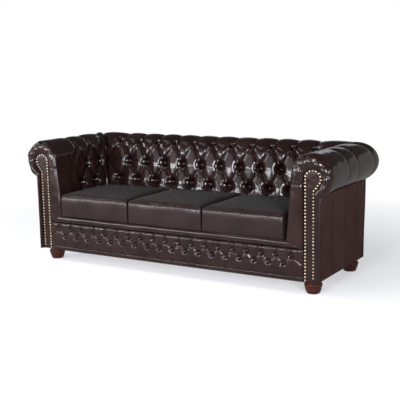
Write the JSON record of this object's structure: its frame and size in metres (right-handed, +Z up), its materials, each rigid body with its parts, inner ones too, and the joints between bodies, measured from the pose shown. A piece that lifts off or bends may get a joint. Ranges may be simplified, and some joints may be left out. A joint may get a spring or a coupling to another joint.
{
  "type": "three-seater sofa",
  "caption": "Rolled-arm leather sofa with a deep-buttoned back, arms and front panel, loose box seat cushions, nail-trimmed arm fronts and turned wooden feet.",
  "frame": {"origin": "on the floor, under the middle of the sofa's width and depth", "axes": "+X to the right of a person who faces the sofa, along its width; -Y out of its front, the way a sitter looks; +Z up"},
  "size_m": [2.0002, 0.7497, 0.7387],
  "materials": {
    "leather": "dark brown, polished",
    "cushion_leather": "dark brown, polished, finely grained",
    "frame_timber": "planed, bare",
    "hardboard": "pressed board, bare",
    "webbing": "woven strap",
    "foam": "cut foam with wadding",
    "dust_cloth": "thin matt cloth",
    "foot_timber": "red-brown stain, satin polish",
    "antique_brass": "antique, satin",
    "bolt_steel": "zinc plated"
  },
  "bodies": {
    "sofa": {"arm_border_left": "leather", "arm_border_right": "leather", "arm_buttons_left": "leather", "arm_buttons_right": "leather", "arm_facing_left": "leather", "arm_facing_right": "leather", "arm_foam_left": "foam", "arm_foam_right": "foam", "arm_front_board_left": "frame_timber", "arm_front_board_right": "frame_timber", "arm_roll_former_left": "hardboard", "arm_roll_former_right": "hardboard", "arm_tacking_rail_left": "frame_timber", "arm_tacking_rail_right": "frame_timber", "arm_top_rail_left": "frame_timber", "arm_top_rail_right": "frame_timber", "back_buttons": "leather", "back_foam": "foam", "back_post_left": "frame_timber", "back_post_right": "frame_timber", "back_roll_former": "hardboard", "back_tacking_rail": "frame_timber", "back_top_rail": "frame_timber", "back_uprights": "frame_timber", "back_webbing": "webbing", "back_webbing_rail": "frame_timber", "corner_blocks": "frame_timber", "dust_cover": "dust_cloth", "facing_nails_left": "antique_brass", "facing_nails_right": "antique_brass", "foot_bolts": "bolt_steel", "foot_front_left": "foot_timber", "foot_front_right": "foot_timber", "foot_rear_left": "foot_timber", "foot_rear_right": "foot_timber", "front_bottom_band": "leather", "front_buttons": "leather", "front_lip_roll": "leather", "front_panel_cover": "leather", "front_seat_rail": "frame_timber", "inside_arm_board_left": "hardboard", "inside_arm_board_right": "hardboard", "inside_arm_cover_left": "leather", "inside_arm_cover_right": "leather", "inside_back_cover": "leather", "outside_arm_panel_left": "leather", "outside_arm_panel_right": "leather", "outside_back_panel": "leather", "rear_seat_rail": "frame_timber", "seat_deck_pad": "foam", "seat_stretchers": "frame_timber", "seat_webbing": "webbing", "side_seat_rail_left": "frame_timber", "side_seat_rail_right": "frame_timber"},
    "seat_cushion_left": {"cushion_cover_left": "cushion_leather", "cushion_core_left": "foam"},
    "seat_cushion_centre": {"cushion_cover_centre": "cushion_leather", "cushion_core_centre": "foam"},
    "seat_cushion_right": {"cushion_cover_right": "cushion_leather", "cushion_core_right": "foam"}
  },
  "joints": [
    {"name": "lift_cushion_left", "type": "slide", "parent": "sofa", "child": "seat_cushion_left", "axis": [0, 0, 1], "range_m": [0, 0.46]},
    {"name": "lift_cushion_centre", "type": "slide", "parent": "sofa", "child": "seat_cushion_centre", "axis": [0, 0, 1], "range_m": [0, 0.46]},
    {"name": "lift_cushion_right", "type": "slide", "parent": "sofa", "child": "seat_cushion_right", "axis": [0, 0, 1], "range_m": [0, 0.46]}
  ]
}
